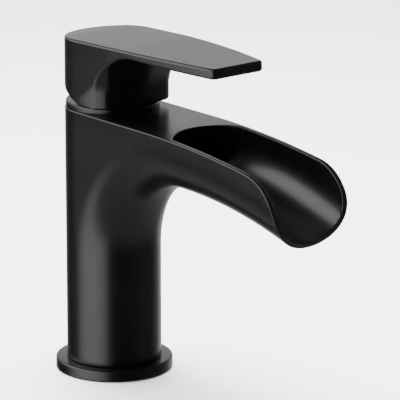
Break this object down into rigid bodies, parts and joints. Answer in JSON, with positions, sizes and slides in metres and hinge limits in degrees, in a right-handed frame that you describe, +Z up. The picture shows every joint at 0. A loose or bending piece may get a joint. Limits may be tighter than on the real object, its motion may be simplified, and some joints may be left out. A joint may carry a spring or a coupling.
{
  "type": "bathroom mixer faucet",
  "caption": "Single-lever waterfall basin mixer: round column on a flange, open trough spout, tapered lever over a ceramic cartridge, with fixings under the deck.",
  "frame": {"origin": "centre of the base flange's underside, where the faucet stands on the basin deck", "axes": "+Z up along the column, +X along the spout, +Y to the left of someone behind the faucet looking along the spout"},
  "size_m": [0.1585, 0.052, 0.2015],
  "materials": {
    "black_finish": "matte black powder coat on brass",
    "rubber": "moulded EPDM",
    "brass": "turned",
    "grey_plastic": "moulded",
    "pale_plastic": "moulded",
    "blue_plastic": "moulded",
    "red_plastic": "moulded",
    "ceramic": "lapped alumina",
    "steel": "brushed"
  },
  "bodies": {
    "root": {"body_casting": "black_finish", "base_flange": "black_finish", "base_seal": "rubber", "collar_ring": "black_finish", "dome_cover": "black_finish", "cartridge_nut": "brass", "cartridge_shell": "grey_plastic", "cartridge_base": "pale_plastic", "port_seals": "rubber", "cartridge_o_ring": "rubber", "disc_seals": "rubber", "fixed_disc": "ceramic", "temperature_stop": "red_plastic", "threaded_stud": "brass", "horseshoe_seal": "rubber", "horseshoe_plate": "steel", "fixing_nut": "brass"},
    "rotor": {"rotor": "pale_plastic", "pivot_pin": "steel"},
    "disc": {"moving_disc": "ceramic", "disc_carrier": "blue_plastic"},
    "lever": {"lever_handle": "black_finish", "lever_stem": "brass", "grub_screw": "steel", "screw_cap": "black_finish"}
  },
  "joints": [
    {"name": "temperature", "type": "hinge", "parent": "root", "child": "rotor", "pos_m": [0, 0, 0.121], "axis": [0, 0, 1], "range_deg": [-45, 45]},
    {"name": "lift", "type": "hinge", "parent": "rotor", "child": "lever", "pos_m": [0, 0, 0.121], "axis": [0, -1, 0], "range_deg": [0, 20]},
    {"name": "disc_slide", "type": "slide", "parent": "rotor", "child": "disc", "axis": [1, 0, 0], "range_m": [0, 0.00464]}
  ],
  "couplings": [
    {"joint": "disc_slide", "follows": "lift", "m_per_rad": 0.013}
  ]
}
